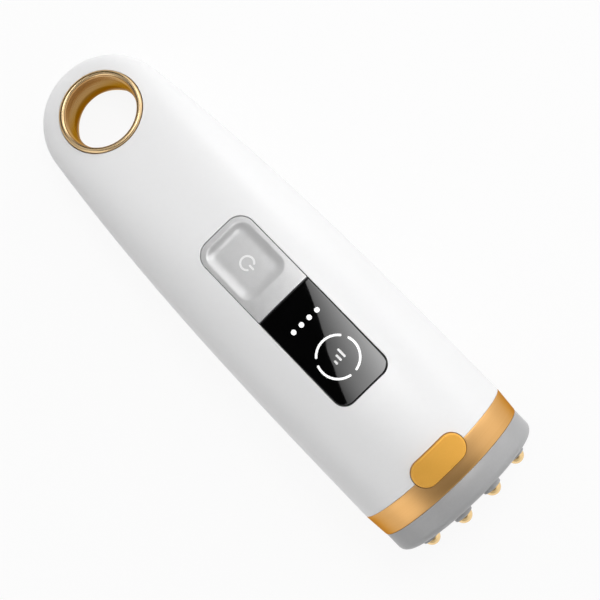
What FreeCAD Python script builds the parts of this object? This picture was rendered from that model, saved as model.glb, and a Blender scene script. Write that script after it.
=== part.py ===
# Handheld radio-frequency facial device, lying on its flat back.
# Millimetres. +X runs from the tail ring to the treatment head, +Z points out of the control
# face, and the origin is under the middle of the device on the plane it rests on.
import FreeCAD
import Part
import math
import os

os.makedirs("parts", exist_ok=True)
V = FreeCAD.Vector

# Lengths along the device
shell_length = 143.1
band_width = 7.0
head_rim_length = 6.8
electrode_collar_height = 1.7
electrode_dome_height = 2.0

# Outline and side profile of the body
head_half_width = 24.2
head_front_height = 41.0
joint_mid_height = 20.5
tail_mid_height = 6.2
belly_overshoot = 1.2
front_slope_at_head = 5.5
ring_front_height = 14.52
nose_radius = 18.9
nose_flank_angle = 7.0
nose_side_length = 9.0
nose_side_power = 2.4
section_power_head = 2.0
section_power_tail = 3.2
shell_wall = 2.2
sliding_fit = 0.1
close_fit = 0.05

# Tail ring
ring_setback = 15.8
ring_lip_radius = 12.15
ring_mouth_radius = 11.2
ring_bore_radius = 9.4
ring_flare_depth = 3.7
ring_bore_length = 2.5
ring_sleeve_wall = 1.6
ring_lip_height = 0.45
ring_flange_thickness = 1.2
ring_rear_wall = 1.2
ring_boss_wall = 1.9

# Treatment head
band_wall = 2.0
band_taper = 0.55
head_lift = 0.3
cap_wall = 2.2
cap_plate = 2.2
cap_step = 0.1
cap_edge_radius = 2.2
collar_radius = 2.75
dome_radius = 2.3
shank_radius = 1.2
electrode_margin_y = 8.975
electrode_margin_z = 8.5
electrode_board_thickness = 1.2
electrode_board_setback = 2.2
electrode_shank_tail = 0.6
head_seal_width = 1.4
frame_reach = 8.0
frame_wall = 2.5
frame_rib_height = 1.2
frame_rib_width = 1.4
frame_rib_setback = 3.2
frame_web = 2.0
frame_web_setback = 1.0
cap_post_radius = 2.4
cap_post_clearance = 0.3
cap_post_angle = 40.0

# Mode key across the shell end and the band
mode_key_length = 7.4
mode_key_width = 16.5
mode_key_offset = -0.4
mode_key_proud = 0.8
mode_key_travel = 0.6
mode_key_gap = 0.2
mode_key_flange = 1.0
mode_key_edge = 0.35
mode_flange_depth = 5.4
mode_floor = 2.0
mode_floor_rim = 1.0
mode_stem_radius = 1.6
mode_stem_clearance = 0.3
mode_floor_clearance = 0.4
mode_board_half_length = 5.0
mode_board_half_width = 7.4
mode_board_thickness = 1.0
mode_post_y = 5.6
mode_post_radius = 1.6
web_notch_clearance = 0.5
web_window_half_width = 5.0
web_window_half_height = 3.0

# Panel opening with the power key and the lens
panel_centre_setback = 89.85
panel_length = 56.8
panel_half_width = 8.75
panel_tail_corner = 4.6
panel_head_corner = 3.7
power_key_length = 25.4
panel_gap = 0.2
panel_flange = 1.2
panel_clearance = 0.25
panel_sink = 0.08
panel_plate = 3.7
panel_inner_corner = 0.4
power_key_travel = 0.7
scoop_margin_tail = 2.6
scoop_margin_side = 1.45
scoop_margin_divider = 5.9
scoop_corner = 2.6
scoop_depth = 0.8
scoop_slope = 1.2

# Boards and switches
board_thickness = 1.2
main_board_length = 72.0
main_board_half_width = 14.0
board_boss_radius = 2.2
board_boss_margin = 3.0
board_boss_side_margin = 2.4
board_screw_bite = 3.2
board_corner = 2.0
switch_size = 6.0
switch_height = 3.1
plunger_radius = 1.7
plunger_proud = 1.15
plunger_length = 1.95
plunger_spare = 0.3

# Lights
dot_pitch = 2.75
dot_count = 4
dot_setback_from_lens_edge = 7.9
ring_light_radius = 5.6
ring_light_count = 6
ring_light_from_dots = 12.4
led_size = 1.2
led_height = 0.7
light_well_radius = 1.0
light_groove_half_width = 0.8
light_groove_depth = 2.0
light_box_half_width = 8.0
light_box_margin = 1.2
touch_pad_radius = 4.2
touch_pad_thickness = 0.3

# Power parts inside
battery_length = 50.0
battery_half_width = 12.5
battery_height = 9.0
battery_tail_setback = 61.3
battery_edge = 2.0
battery_pad_height = 2.0
battery_pad_half_width = 8.0
battery_pad_margin = 3.0
transformer_radius = 8.0
transformer_clearance = 1.2
transformer_flange = 1.8
transformer_post_radius = 3.5
transformer_place = 13.0
coil_radius = 7.4
chip_size = 7.0
chip_height = 1.0
chip_place = -14.0

# Leads between the boards, the battery and the head
lead_radius = 0.7
lead_bend = 2.2
rf_lead_y = 2.5
rf_lead_margin = 6.0
rf_lead_drop = 6.0
battery_lead_y = 4.0
battery_lead_run = 6.0
battery_lead_margin = 3.4
battery_lead_drop = 8.0
charge_lead_y = 3.0
charge_lead_bend = 1.4
charge_lead_rise = 5.0
charge_lead_margin = 2.0
charge_lead_board_margin = 1.5
charge_lead_drop = 3.4

# Charging socket in the back
socket_setback = 42.3
socket_length = 8.94
socket_width = 3.26
socket_depth = 6.6
socket_wall = 0.3
socket_recess = 0.15
socket_back = 0.5
socket_clearance = 0.2
tongue_length = 6.7
tongue_width = 0.7
tongue_height = 4.6
charge_board_length = 12.0
charge_board_half_width = 8.5
charge_board_thickness = 1.0
charge_post_radius = 1.9
charge_post_y = 6.2
charge_post_setback = 4.0

# Screws
screw_radius = 1.0
screw_head_radius = 1.9
screw_head_height = 1.3
screw_bite = 6.0
pilot_clearance = 0.02
screw_hole_clearance = 0.15
pilot_spare = 0.4
shell_screw_boss_radius = 3.4
shell_screw_head_setback = 12.8
shell_screw_head_y = 14.5
shell_screw_tail_setback = 44.3
shell_screw_tail_y = 13.0
shell_screw_front_boss_radius = 2.6
shell_screw_seat = 6.0
counterbore_clearance = 0.3
plug_height = 1.6

# Stations along X that follow from the lengths
overall_length = (shell_length + band_width + head_rim_length
                  + electrode_collar_height + electrode_dome_height)
x_tip = -overall_length / 2
x_joint = x_tip + shell_length
x_band_end = x_joint + band_width
x_face = x_band_end + head_rim_length
x_ring = x_tip + ring_setback


# The body's outline, worked out at any station
nose_centre_x = x_tip + nose_radius
flank_angle = math.radians(nose_flank_angle)
x_flank_end = nose_centre_x - nose_radius * math.sin(flank_angle)
flank_end_width = nose_radius * math.cos(flank_angle)
flank_power = (math.tan(flank_angle) * (x_joint - x_flank_end)
               / (head_half_width - flank_end_width))
head_slope = math.radians(front_slope_at_head)
front_chord_slope = math.atan2(head_front_height - ring_front_height, x_joint - x_ring)
ring_slope = 2 * front_chord_slope - head_slope
front_arc_radius = (x_joint - x_ring) / (math.sin(ring_slope) - math.sin(head_slope))
flank_steps = 10
nose_steps = 10
nose_last_angle = 88.5
section_steps = 16


def half_width(x, inset):
    """Half the body's width in plan: a flank that swells to the head, then a round nose."""
    if x < x_flank_end:
        reach = (nose_radius - inset) ** 2 - (nose_centre_x - x) ** 2
        return math.sqrt(reach)
    share = (x_joint - x) / (x_joint - x_flank_end)
    return head_half_width - (head_half_width - flank_end_width) * share ** flank_power - inset


def front_slope(x):
    """Angle of the front line at a station, in radians."""
    return math.asin(math.sin(head_slope) + (x_joint - x) / front_arc_radius)


def front_height(x):
    """Height of the front line: one long arc that falls towards the tail."""
    fall = math.cos(head_slope) - math.cos(front_slope(x))
    return head_front_height - front_arc_radius * fall


def mid_height(x):
    """Height of the widest line, where the two shells part."""
    share = (x - x_tip) / shell_length
    return tail_mid_height + (joint_mid_height - tail_mid_height) * share


def nose_factor(x, inset):
    """Rounds the tail's thickness off over the last few millimetres."""
    x_start = x_tip + nose_side_length
    if x >= x_start:
        return 1.0
    share = (x_start - x) / (nose_side_length - inset)
    return (1.0 - share ** nose_side_power) ** (1.0 / nose_side_power)


def section_power(x):
    """Sections are elliptical at the head and flatter, squarer ones at the tail."""
    share = (x_joint - x) / shell_length
    return section_power_head + (section_power_tail - section_power_head) * share


def unit_half(power):
    """Half of a superellipse of half axes 1, from +Y over the top to -Y, as one spline."""
    parameters = [step / section_steps for step in range(section_steps + 1)]
    points = []
    for parameter in parameters:
        angle = math.pi * parameter
        reach = (abs(math.cos(angle)) ** power + math.sin(angle) ** power) ** (-1.0 / power)
        points.append(V(0, reach * math.cos(angle), reach * math.sin(angle)))
    points[-1] = V(0, -1, 0)
    curve = Part.BSplineCurve()
    curve.interpolate(Points=points, Parameters=parameters,
                      InitialTangent=V(0, 0, math.pi), FinalTangent=V(0, 0, -math.pi), Scale=False)
    return curve


def section_poles(x, inset, upward):
    """Spline poles of half of the section at one station."""
    width = half_width(x, inset)
    if upward:
        height = front_height(x) - mid_height(x) - inset
    else:
        height = -(mid_height(x) + belly_overshoot - inset)
    height *= nose_factor(x, inset)
    poles = unit_half(section_power(x)).getPoles()
    return [V(x, width * pole.y, mid_height(x) + height * pole.z) for pole in poles]


def body_stations(inset):
    """Stations for the skin: even along the flank, then in even angles round the nose."""
    stations = []
    for step in range(flank_steps):
        stations.append(x_joint + (x_flank_end - x_joint) * step / flank_steps)
    reach = nose_radius - inset
    for step in range(nose_steps + 1):
        degrees = nose_flank_angle + (nose_last_angle - nose_flank_angle) * step / nose_steps
        stations.append(nose_centre_x - reach * math.sin(math.radians(degrees)))
    return stations


def body_half(inset, upward):
    """One half of the body: a skin through the sections, closed by the parting plane and ends."""
    stations = body_stations(inset)
    rows = [section_poles(x, inset, upward) for x in stations]
    places = [0.0]
    for before, after in zip(rows, rows[1:]):
        places.append(places[-1] + (after[0] - before[0]).Length)
    columns = []
    for column in zip(*rows):
        line = Part.BSplineCurve()
        line.interpolate(Points=list(column), Parameters=places)
        columns.append(line)
    around = unit_half(section_power_head)
    skin = Part.BSplineSurface()
    skin.buildFromPolesMultsKnots([line.getPoles() for line in columns],
                                  around.getMultiplicities(), columns[0].getMultiplicities(),
                                  around.getKnots(), columns[0].getKnots(),
                                  False, False, around.Degree, columns[0].Degree)
    skin_face = skin.toShape()
    near_edge, far_edge = columns[0].toShape(), columns[-1].toShape()
    head_edge = skin.vIso(places[0]).toShape()
    tip_edge = skin.vIso(places[-1]).toShape()
    head_chord = Part.makeLine(rows[0][-1], rows[0][0])
    tip_chord = Part.makeLine(rows[-1][-1], rows[-1][0])
    parting = Part.Face(Part.Wire(Part.__sortEdges__([near_edge, tip_chord, far_edge, head_chord])))
    head_end = Part.Face(Part.Wire([head_edge, head_chord]))
    tip_end = Part.Face(Part.Wire([tip_edge, tip_chord]))
    shell = Part.makeShell([skin_face, parting, head_end, tip_end])
    shell.sewShape()
    solid = Part.makeSolid(shell)
    if solid.Volume < 0:
        solid.reverse()
    return solid


# Helpers for plain solids
def box(x_range, y_range, z_range):
    size = [b - a for a, b in (x_range, y_range, z_range)]
    return Part.makeBox(*size, V(x_range[0], y_range[0], z_range[0]))


def rod(base, direction, radius, length):
    return Part.makeCylinder(radius, length, base, direction)


def group(solids):
    return Part.makeCompound(solids)


def export(name, shape):
    shape.exportStep("parts/" + name + ".step")


far = 200.0
skirt = 3.0
x_axis = V(1, 0, 0)
y_axis = V(0, 1, 0)
z_axis = V(0, 0, 1)


def above(z):
    return box((-far, far), (-far, far), (z, far))


def screw(seat, direction, length):
    """Pan head screw: the head lies behind its seat, the shank runs along the direction."""
    head = rod(seat - direction * screw_head_height, direction, screw_head_radius, screw_head_height)
    return head.fuse(rod(seat, direction, screw_radius, length)).removeSplitter()


def tilted(x, z, slope):
    """Placement whose local X follows a front line of this slope and local Z its normal."""
    turn = FreeCAD.Rotation(y_axis, -math.degrees(slope))
    return FreeCAD.Placement(V(x, 0, z), turn)


def placed(shape, placement):
    return shape.transformed(placement.toMatrix())


def revolved(points_and_arcs):
    """Turns a closed profile of edges in the local XZ plane about the local Z axis."""
    face = Part.Face(Part.Wire(points_and_arcs))
    return face.revolve(V(0, 0, 0), z_axis, 360)


def polyline(points):
    return [Part.makeLine(a, b) for a, b in zip(points, points[1:])]


# Body halves and their hollows
front_body = body_half(0, True)
front_shell = front_body.cut(body_half(shell_wall, True))
rear_body = body_half(0, False).common(above(0))
rear_shell = rear_body.cut(body_half(shell_wall, False).common(above(shell_wall)))
under_front_wall = body_half(shell_wall + panel_clearance, True)
front_bosses = []
front_openings = []
rear_bosses = []
rear_openings = []

# Tail ring: a flared bush in two halves on one axis, square to the front face
ring_place = tilted(x_ring, ring_front_height, ring_slope)
ring_sleeve_radius = ring_bore_radius + ring_sleeve_wall
ring_rear_radius = ring_mouth_radius + ring_rear_wall
ring_joint_depth = ring_flare_depth + ring_bore_length
ring_reach = 30.0
flare_run = ring_mouth_radius - ring_bore_radius
flare_radius = (flare_run ** 2 + ring_flare_depth ** 2) / (2 * flare_run)


def flare(depth_at_bore, towards):
    """Arc of the trumpet mouth, from the mouth's edge down to the straight bore."""
    turn = math.atan2(flare_run, ring_flare_depth)
    middle = V(ring_bore_radius + flare_radius * (1 - math.cos(turn)), 0,
               depth_at_bore + towards * flare_radius * math.sin(turn))
    mouth = V(ring_mouth_radius, 0, depth_at_bore + towards * ring_flare_depth)
    return Part.Arc(mouth, middle, V(ring_bore_radius, 0, depth_at_bore)).toShape()


lip_outer = V(ring_lip_radius, 0, 0)
lip_inner = V(ring_mouth_radius, 0, 0)
lip_crown = V((ring_lip_radius + ring_mouth_radius) / 2, 0, ring_lip_height)
ring_bush_front = revolved(
    [flare(-ring_flare_depth, 1)]
    + polyline([V(ring_bore_radius, 0, -ring_flare_depth),
                V(ring_bore_radius, 0, -ring_joint_depth),
                V(ring_sleeve_radius, 0, -ring_joint_depth),
                V(ring_sleeve_radius, 0, -ring_flange_thickness),
                V(ring_lip_radius, 0, -ring_flange_thickness),
                lip_outer])
    + [Part.Arc(lip_outer, lip_crown, lip_inner).toShape()])
ring_bush_rear = revolved(
    [flare(-ring_joint_depth, -1)]
    + polyline([V(ring_bore_radius, 0, -ring_joint_depth),
                V(ring_rear_radius, 0, -ring_joint_depth),
                V(ring_rear_radius, 0, -ring_reach),
                V(ring_mouth_radius, 0, -ring_reach),
                V(ring_mouth_radius, 0, -ring_joint_depth - ring_flare_depth)]))
ring_bush_front = placed(ring_bush_front, ring_place)
ring_bush_rear = placed(ring_bush_rear, ring_place).common(above(0))

ring_boss = rod(V(0, 0, -ring_reach), z_axis, ring_rear_radius + ring_boss_wall, 2 * ring_reach)
ring_boss = placed(ring_boss, ring_place)
ring_seat = rod(V(0, 0, -ring_flange_thickness), z_axis, ring_lip_radius + close_fit, ring_reach)
ring_seat = ring_seat.fuse([rod(V(0, 0, -ring_joint_depth), z_axis,
                                ring_sleeve_radius + close_fit, ring_reach),
                            rod(V(0, 0, -ring_reach), z_axis,
                                ring_rear_radius + close_fit, ring_reach - ring_joint_depth)])
ring_seat = placed(ring_seat, ring_place)
front_bosses.append(ring_boss.common(front_body))
front_openings.append(ring_seat)
rear_bosses.append(ring_boss.common(rear_body))
rear_openings.append(ring_seat)


# Head section: the shell's own end section, carried on towards the face
def head_block(x_start, x_end, inset_start, inset_end):
    """A block of the head's section between two stations, flat underneath."""
    wires = []
    for x, inset in ((x_start, inset_start), (x_end, inset_end)):
        halves = []
        for height in (head_front_height - joint_mid_height - inset,
                       -(joint_mid_height + belly_overshoot - inset)):
            curve = unit_half(section_power_head)
            poles = [V(x, (head_half_width - inset) * pole.y, joint_mid_height + height * pole.z)
                     for pole in curve.getPoles()]
            curve.buildFromPolesMultsKnots(poles, curve.getMultiplicities(), curve.getKnots(),
                                           False, curve.Degree)
            halves.append(curve.toShape())
        wires.append(Part.Wire(halves))
    return Part.makeLoft(wires, True, True).common(above(head_lift + inset_start))


def even_block(x_start, x_end, inset):
    return head_block(x_start, x_end, inset, inset)


cap_inset = band_taper + cap_step
cap_hollow_inset = cap_inset + cap_wall
x_plate_back = x_face - cap_plate
x_web = x_joint + frame_web_setback
x_web_front = x_web + frame_web
x_board_front = x_plate_back - electrode_board_setback
x_board_back = x_board_front - electrode_board_thickness
x_frame_back = x_joint - frame_reach
collar_inset = shell_wall + sliding_fit + head_front_height - front_height(x_frame_back)
rib_inset = collar_inset + frame_rib_height
x_rib_end = x_joint - frame_rib_setback
x_rib_start = x_rib_end - frame_rib_width
frame_inner_inset = collar_inset + frame_wall
board_inset = cap_hollow_inset + sliding_fit

trim_band = head_block(x_joint, x_band_end, 0, band_taper)
trim_band = trim_band.cut(even_block(x_joint - skirt, x_band_end + skirt, band_wall))

# The shells hold the frame by a rib in its groove
rib_slab = box((x_rib_start, x_rib_end), (-far, far), (-far, far))
rib_core = even_block(x_rib_start - skirt, x_rib_end + skirt, rib_inset)
front_bosses.append(front_body.common(rib_slab).cut(rib_core))
rear_bosses.append(rear_body.common(rib_slab).cut(rib_core))

head_frame = even_block(x_frame_back, x_joint, collar_inset)
head_frame = head_frame.fuse(even_block(x_joint, x_band_end, band_wall + sliding_fit))
head_frame = head_frame.cut(even_block(x_frame_back - skirt, x_band_end + skirt, frame_inner_inset))
groove_slab = even_block(x_rib_start - sliding_fit, x_rib_end + sliding_fit, 0)
groove_core = even_block(x_rib_start - skirt, x_rib_end + skirt, rib_inset + sliding_fit)
head_frame = head_frame.cut(groove_slab.cut(groove_core))

# Electrodes on a four by four grid without its corners, about the middle of the head
head_centre_height = head_front_height / 2
grid = (-1.5, -0.5, 0.5, 1.5)
electrode_pitch_y = (head_half_width - electrode_margin_y) / max(grid)
electrode_pitch_z = (head_centre_height - electrode_margin_z) / max(grid)
electrode_places = []
for row in reversed(grid):
    for column in grid:
        if abs(row) < max(grid) or abs(column) < max(grid):
            electrode_places.append((column * electrode_pitch_y,
                                     head_centre_height + row * electrode_pitch_z))
post_inset = frame_inner_inset + cap_post_radius + cap_post_clearance
cap_post_y = (head_half_width - post_inset) * math.cos(math.radians(cap_post_angle))
cap_post_places = []
for half_height in (head_front_height - joint_mid_height - post_inset,
                    post_inset - joint_mid_height - belly_overshoot):
    z = joint_mid_height + half_height * math.sin(math.radians(cap_post_angle))
    cap_post_places += [(-cap_post_y, z), (cap_post_y, z)]

head_cap = even_block(x_band_end, x_face, cap_inset)
front_edges = [edge for edge in head_cap.Edges
               if all(abs(vertex.X - x_face) < close_fit for vertex in edge.Vertexes)]
head_cap = head_cap.makeFillet(cap_edge_radius, front_edges)
head_cap = head_cap.cut(even_block(x_band_end - skirt, x_plate_back, cap_hollow_inset))
collars = [rod(V(x_plate_back, y, z), x_axis, collar_radius, cap_plate + electrode_collar_height)
           for y, z in electrode_places]
cap_posts = [rod(V(x_web_front, y, z), x_axis, cap_post_radius, x_face - cap_plate / 2 - x_web_front)
             for y, z in cap_post_places]
shank_holes = [rod(V(x_web_front, y, z), x_axis, shank_radius + close_fit, far)
               for y, z in electrode_places]
cap_pilots = [rod(V(x_web_front, y, z), x_axis, screw_radius + pilot_clearance,
                  screw_bite + pilot_spare) for y, z in cap_post_places]
head_cap = head_cap.fuse(collars + cap_posts).cut(shank_holes + cap_pilots).removeSplitter()

post_holes = [rod(V(x_web_front, y, z), x_axis, cap_post_radius + sliding_fit, far)
              for y, z in cap_post_places]
electrode_board = even_block(x_board_back, x_board_front, board_inset)
electrode_board = electrode_board.cut(shank_holes + post_holes)

head_seal = even_block(x_band_end, x_board_back, board_inset)
head_seal = head_seal.cut(even_block(x_band_end - skirt, x_board_back + skirt,
                                     board_inset + head_seal_width))

x_collar_face = x_face + electrode_collar_height
dome_sphere = (dome_radius ** 2 + electrode_dome_height ** 2) / (2 * electrode_dome_height)
dome_turn = math.atan2(electrode_dome_height, dome_radius)
dome_base = electrode_dome_height - dome_sphere
shank_depth = x_collar_face - x_board_back + electrode_shank_tail
electrode_profile = polyline([V(0, 0, electrode_dome_height), V(0, 0, -shank_depth),
                              V(shank_radius, 0, -shank_depth), V(shank_radius, 0, 0),
                              V(dome_radius, 0, 0)])
electrode_profile.append(Part.Arc(V(dome_radius, 0, 0),
                                  V(dome_sphere * math.sin(dome_turn), 0,
                                    dome_base + dome_sphere * math.cos(dome_turn)),
                                  V(0, 0, electrode_dome_height)).toShape())
electrode = revolved(electrode_profile)
along_x = FreeCAD.Rotation(z_axis, x_axis)
for number, (y, z) in enumerate(electrode_places, 1):
    stud = placed(electrode, FreeCAD.Placement(V(x_collar_face, y, z), along_x))
    export("electrode_%02d" % number, stud)


# Mode key: a stadium that stands a little proud of the shell end and the band
def stadium(x, length, width, z_start, z_end):
    """Prism with round ends across Y, centred on a station."""
    radius = length / 2
    straight = width / 2 - radius
    core = box((x - radius, x + radius), (-straight, straight), (z_start, z_end))
    for side in (-1, 1):
        core = core.fuse(rod(V(x, side * straight, z_start), z_axis, radius, z_end - z_start))
    return core.removeSplitter()


x_key = x_joint + mode_key_offset
z_flange = head_front_height - mode_flange_depth
z_floor_top = z_flange - mode_key_travel - mode_floor_clearance
z_floor = z_floor_top - mode_floor
z_key_limit = head_front_height + skirt
key_span = (x_frame_back, x_band_end + skirt)
mode_key = stadium(x_key, mode_key_length, mode_key_width, z_flange, z_key_limit)
mode_key = mode_key.common(even_block(*key_span, -mode_key_proud))
top_edges = [edge for edge in mode_key.Edges
             if min(point.z for point in edge.discretize(5)) > z_flange + mode_flange_depth / 2]
mode_key = mode_key.makeFillet(mode_key_edge, top_edges)
mode_flange = stadium(x_key, mode_key_length + 2 * mode_key_flange,
                      mode_key_width + 2 * mode_key_flange, z_flange, z_key_limit)
mode_key = mode_key.fuse(mode_flange.common(even_block(*key_span, collar_inset)))
mode_key = mode_key.fuse(rod(V(x_key, 0, z_floor), z_axis, mode_stem_radius, z_flange - z_floor))
mode_key = mode_key.removeSplitter()

key_window = stadium(x_key, mode_key_length + 2 * mode_key_gap, mode_key_width + 2 * mode_key_gap,
                     z_floor_top, z_key_limit)
key_pocket = stadium(x_key, mode_key_length + 2 * (mode_key_flange + mode_key_gap),
                     mode_key_width + 2 * (mode_key_flange + mode_key_gap), z_floor_top, z_key_limit)
key_pocket = key_pocket.common(even_block(*key_span, collar_inset - sliding_fit))
front_openings += [key_window, key_pocket]
trim_band = trim_band.cut(key_window)
head_frame = head_frame.cut([key_pocket, key_window])

floor_half_length = mode_key_length / 2 + mode_key_flange + mode_floor_rim
floor_half_width = mode_key_width / 2 + mode_key_flange + mode_key_gap + mode_floor_rim
frame_core = even_block(*key_span, frame_inner_inset - close_fit)
mode_pocket_floor = box((x_key - floor_half_length, x_key + floor_half_length),
                        (-floor_half_width, floor_half_width),
                        (z_floor, z_floor_top)).common(frame_core)
web = box((x_web, x_web_front), (-far, far), (-far, far)).common(frame_core)
web_span = (x_web - skirt, x_web_front + skirt)
z_mode_board = z_floor - plunger_proud - switch_height
z_web_notch = z_mode_board - mode_board_thickness - screw_head_height - web_notch_clearance
web_notch_half_width = mode_board_half_width + web_notch_clearance
web_notch = box(web_span, (-web_notch_half_width, web_notch_half_width), (z_web_notch, far))
web_window = box(web_span, (-web_window_half_width, web_window_half_width),
                 (head_centre_height - web_window_half_height,
                  head_centre_height + web_window_half_height))
web_holes = [rod(V(x_web, y, z), x_axis, screw_radius + screw_hole_clearance, frame_web)
             for y, z in cap_post_places]
web = web.cut([web_notch, web_window] + web_holes)
mode_post_places = [V(x_key, side * mode_post_y, z_mode_board) for side in (-1, 1)]
mode_posts = [rod(place, z_axis, mode_post_radius, z_floor - z_mode_board)
              for place in mode_post_places]
mode_pilots = [rod(place, z_axis, screw_radius + pilot_clearance, board_screw_bite + pilot_spare)
               for place in mode_post_places]
stem_hole = rod(V(x_key, 0, z_floor - skirt), z_axis,
                mode_stem_radius + mode_stem_clearance, mode_floor + skirt)
head_frame = head_frame.fuse([mode_pocket_floor, web] + mode_posts)
head_frame = head_frame.cut(mode_pilots + [stem_hole]).removeSplitter()

mode_board = box((x_key - mode_board_half_length, x_key + mode_board_half_length),
                 (-mode_board_half_width, mode_board_half_width),
                 (z_mode_board - mode_board_thickness, z_mode_board))
mode_board_screws = []
for place in mode_post_places:
    seat = place - z_axis * mode_board_thickness
    mode_board = mode_board.cut(rod(seat, z_axis, screw_radius + screw_hole_clearance,
                                    mode_board_thickness))
    mode_board_screws.append(screw(seat, z_axis, mode_board_thickness + board_screw_bite))

head_screws = [screw(V(x_web, y, z), x_axis, frame_web + screw_bite) for y, z in cap_post_places]


# Tact switch: a square body with a round plunger, standing on local Z 0
plunger_socket = plunger_length - plunger_proud + power_key_travel + plunger_spare


def switch_body():
    half = switch_size / 2
    body = box((-half, half), (-half, half), (0, switch_height))
    return body.cut(rod(V(0, 0, switch_height - plunger_socket), z_axis,
                        plunger_radius + close_fit, plunger_socket))


def switch_plunger():
    return rod(V(0, 0, switch_height + plunger_proud - plunger_length), z_axis,
               plunger_radius, plunger_length)


mode_switch_place = FreeCAD.Placement(V(x_key, 0, z_mode_board), FreeCAD.Rotation())
mode_switch = placed(switch_body(), mode_switch_place)
mode_switch_plunger = placed(switch_plunger(), mode_switch_place)

# Panel: local X runs along the face, local Z is its normal, zero is the crown at the middle
x_panel = x_tip + panel_centre_setback
panel_slope = front_slope(x_panel)
panel_place = tilted(x_panel, front_height(x_panel), panel_slope)
panel_normal = V(-math.sin(panel_slope), 0, math.cos(panel_slope))
panel_tail = -panel_length / 2
panel_head = panel_length / 2
divider = panel_tail + power_key_length


def plate_wire(start, end, half_width_y, start_corner, end_corner, height):
    """Rectangle along the panel with one corner radius at each end."""
    turn = math.sqrt(0.5)
    edges = []
    corners = [(end, half_width_y, -1, -1, end_corner), (start, half_width_y, 1, -1, start_corner),
               (start, -half_width_y, 1, 1, start_corner), (end, -half_width_y, -1, 1, end_corner)]
    ends = []
    for x, y, way_x, way_y, radius in corners:
        centre = V(x + way_x * radius, y + way_y * radius, height)
        on_side = V(x, centre.y, height)
        on_edge = V(centre.x, y, height)
        middle = centre - V(way_x * radius * turn, way_y * radius * turn, 0)
        first, last = (on_side, on_edge) if way_x * way_y > 0 else (on_edge, on_side)
        ends.append((first, middle, last))
    for index, (first, middle, last) in enumerate(ends):
        edges.append(Part.Arc(first, middle, last).toShape())
        edges.append(Part.makeLine(last, ends[(index + 1) % len(ends)][0]))
    return Part.Wire(edges)


def plate(start, end, half_width_y, start_corner, end_corner, low, high):
    face = Part.Face(plate_wire(start, end, half_width_y, start_corner, end_corner, low))
    return placed(face.extrude(V(0, 0, high - low)), panel_place)


def on_panel(shape):
    return placed(shape, panel_place)


panel_window = plate(panel_tail, panel_head, panel_half_width,
                     panel_tail_corner, panel_head_corner, -far / 4, far / 4)
front_openings.append(panel_window)
panel_skin = front_body.translated(panel_normal * -panel_sink)
inner_half_width = panel_half_width - panel_gap
flange_half_width = inner_half_width + panel_flange

key_start = panel_tail + panel_gap
key_end = divider - panel_gap / 2
power_key = plate(key_start, key_end, inner_half_width,
                  panel_tail_corner - panel_gap, panel_inner_corner, -panel_plate, skirt)
power_key = power_key.common(panel_skin)
power_flange = plate(key_start - panel_flange, key_end, flange_half_width,
                     panel_tail_corner - panel_gap + panel_flange, panel_inner_corner,
                     -panel_plate, skirt)
power_key = power_key.fuse(power_flange.common(under_front_wall))

# The thumb scoop keeps an even depth under the curved face and has sloping sides
scoop_start = panel_tail + scoop_margin_tail
scoop_end = divider - scoop_margin_divider
scoop_half_width = panel_half_width - scoop_margin_side
x_scoop = x_panel + (scoop_start + scoop_end) / 2 * math.cos(panel_slope)
crown_rise = front_height(x_scoop) - mid_height(x_scoop)
scoop_power = section_power(x_scoop)
side_share = (scoop_half_width / half_width(x_scoop, 0)) ** scoop_power
side_drop = crown_rise * (1 - (1 - side_share) ** (1 / scoop_power))
scoop_floor_level = -side_drop - scoop_depth
scoop_top_level = scoop_depth
scoop_draft = scoop_slope / scoop_depth
scoop_wires = []
for level in (scoop_floor_level, scoop_top_level):
    grow = (level + side_drop) * scoop_draft
    end_grow = level * scoop_draft
    corner = scoop_corner + grow
    scoop_wires.append(plate_wire(scoop_start - end_grow, scoop_end + end_grow,
                                  scoop_half_width + grow, corner, corner, level))
scoop = on_panel(Part.makeLoft(scoop_wires, True, True))
scoop = scoop.cut(panel_skin.translated(panel_normal * -scoop_depth))
power_key = power_key.cut(scoop).removeSplitter()

lens_start = divider + panel_gap / 2
lens_end = panel_head - panel_gap
display_lens = plate(lens_start, lens_end, inner_half_width,
                     panel_inner_corner, panel_head_corner - panel_gap, -panel_plate, skirt)
display_lens = display_lens.common(panel_skin)
lens_flange = plate(lens_start, lens_end + panel_flange, flange_half_width,
                    panel_inner_corner, panel_head_corner - panel_gap + panel_flange,
                    -panel_plate, skirt)
display_lens = display_lens.fuse(lens_flange.common(under_front_wall)).removeSplitter()

# Main board on four bosses of the front shell
board_top = -(panel_plate + plunger_proud + switch_height)
board_bottom = board_top - board_thickness
board_half_length = main_board_length / 2
boss_x = board_half_length - board_boss_margin
boss_y = main_board_half_width - board_boss_side_margin
boss_places = [(way * boss_x, side * boss_y) for way in (-1, 1) for side in (-1, 1)]
board_holes = []
board_screws = []
for x, y in boss_places:
    boss = on_panel(rod(V(x, y, board_top), z_axis, board_boss_radius, -board_top + skirt))
    front_bosses.append(boss.common(front_body))
    pilot = rod(V(x, y, board_top), z_axis, screw_radius + pilot_clearance,
                board_screw_bite + pilot_spare)
    front_openings.append(on_panel(pilot))
    board_holes.append(on_panel(rod(V(x, y, board_bottom), z_axis,
                                    screw_radius + screw_hole_clearance, board_thickness)))
    board_screws.append(on_panel(screw(V(x, y, board_bottom), z_axis,
                                       board_thickness + board_screw_bite)))
main_board = plate(-board_half_length, board_half_length, main_board_half_width,
                   board_corner, board_corner, board_bottom, board_top)
main_board = main_board.cut(board_holes)

key_middle = (panel_tail + divider) / 2
power_switch_place = panel_place.multiply(FreeCAD.Placement(V(key_middle, 0, board_top),
                                                            FreeCAD.Rotation()))
power_switch = placed(switch_body(), power_switch_place)
power_switch_plunger = placed(switch_plunger(), power_switch_place)

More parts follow.
